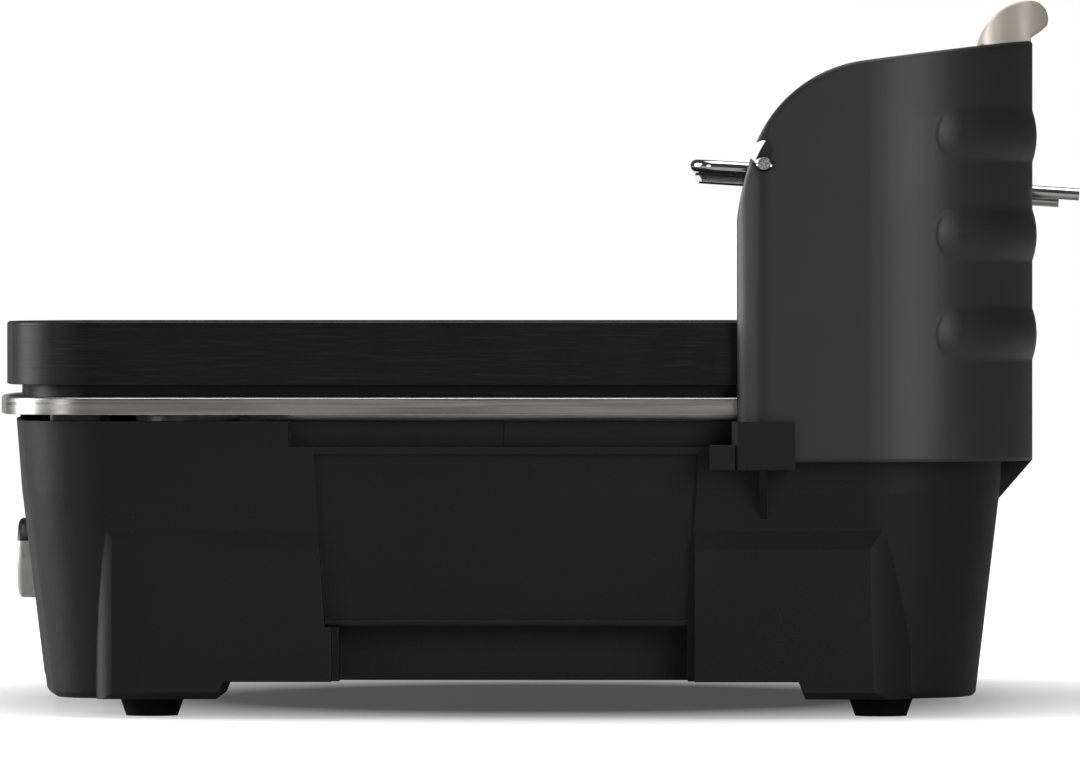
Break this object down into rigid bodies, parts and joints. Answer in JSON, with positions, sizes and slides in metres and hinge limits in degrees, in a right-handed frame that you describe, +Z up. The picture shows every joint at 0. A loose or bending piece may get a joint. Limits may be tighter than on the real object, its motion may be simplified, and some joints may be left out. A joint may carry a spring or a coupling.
{
  "type": "electric table grill",
  "caption": "Electric table grill: ribbed cast plate on a drip tray in a black moulded base, with a lift-off windscreen and a chrome warming rack.",
  "frame": {"origin": "on the table plane under the middle of the overall box", "axes": "+Z up, -Y toward the control knob at the front, +X to the right seen from the front"},
  "size_m": [0.4968, 0.4023, 0.2639],
  "materials": {
    "base_plastic": "fine-grained black moulding",
    "foot_rubber": "matt black",
    "fastener_steel": "plain zinc-plated",
    "socket_ceramic": "unglazed",
    "dark_plastic": "matt black",
    "contact_brass": "plain",
    "lamp_lens": "clear red",
    "inlet_plastic": "smooth black",
    "wire_insulation": "heat-resistant sleeve",
    "knob_silver": "satin plated",
    "tray_steel": "satin",
    "plate_coating": "black non-stick coating on the casting",
    "element_steel": "dull",
    "screen_paint": "satin charcoal paint",
    "grip_metal": "satin, warm grey",
    "rack_chrome": "bright plated wire"
  },
  "bodies": {
    "base": {"base_housing": "base_plastic", "service_cover": "base_plastic", "cover_screws": "fastener_steel", "foot_front_right": "foot_rubber", "foot_front_left": "foot_rubber", "foot_rear_right": "foot_rubber", "foot_rear_left": "foot_rubber", "element_socket": "socket_ceramic", "energy_regulator": "dark_plastic", "regulator_nut": "contact_brass", "pilot_lens": "lamp_lens", "pilot_holder": "dark_plastic", "mains_inlet": "inlet_plastic", "inlet_blades": "contact_brass", "inlet_screws": "fastener_steel", "internal_wiring": "wire_insulation"},
    "knob": {"control_knob": "knob_silver", "knob_pointer": "dark_plastic", "regulator_shaft": "fastener_steel"},
    "tray": {"drip_tray": "tray_steel"},
    "plate": {"grill_plate": "plate_coating", "heating_element": "element_steel", "element_clamps": "element_steel", "clamp_screws": "fastener_steel", "element_plug": "socket_ceramic", "plug_pins": "contact_brass"},
    "windscreen": {"windscreen": "screen_paint", "windscreen_grip": "grip_metal", "grip_screws": "fastener_steel"},
    "rack": {"warming_rack": "rack_chrome"}
  },
  "joints": [
    {"name": "knob_turn", "type": "hinge", "parent": "base", "child": "knob", "pos_m": [0, -0.1903, 0.0533], "axis": [0, 1, 0], "range_deg": [0, 270]},
    {"name": "tray_lift", "type": "slide", "parent": "base", "child": "tray", "axis": [0, 0, 1], "range_m": [0, 0.018]},
    {"name": "plate_lift", "type": "slide", "parent": "tray", "child": "plate", "axis": [0, 0, 1], "range_m": [0, 0.025]},
    {"name": "windscreen_lift", "type": "slide", "parent": "base", "child": "windscreen", "axis": [0, 0, 1], "range_m": [0, 0.06]},
    {"name": "rack_tilt", "type": "hinge", "parent": "windscreen", "child": "rack", "pos_m": [0, 0.1702, 0.19285], "axis": [-1, 0, 0], "range_deg": [0, 3.2]}
  ]
}
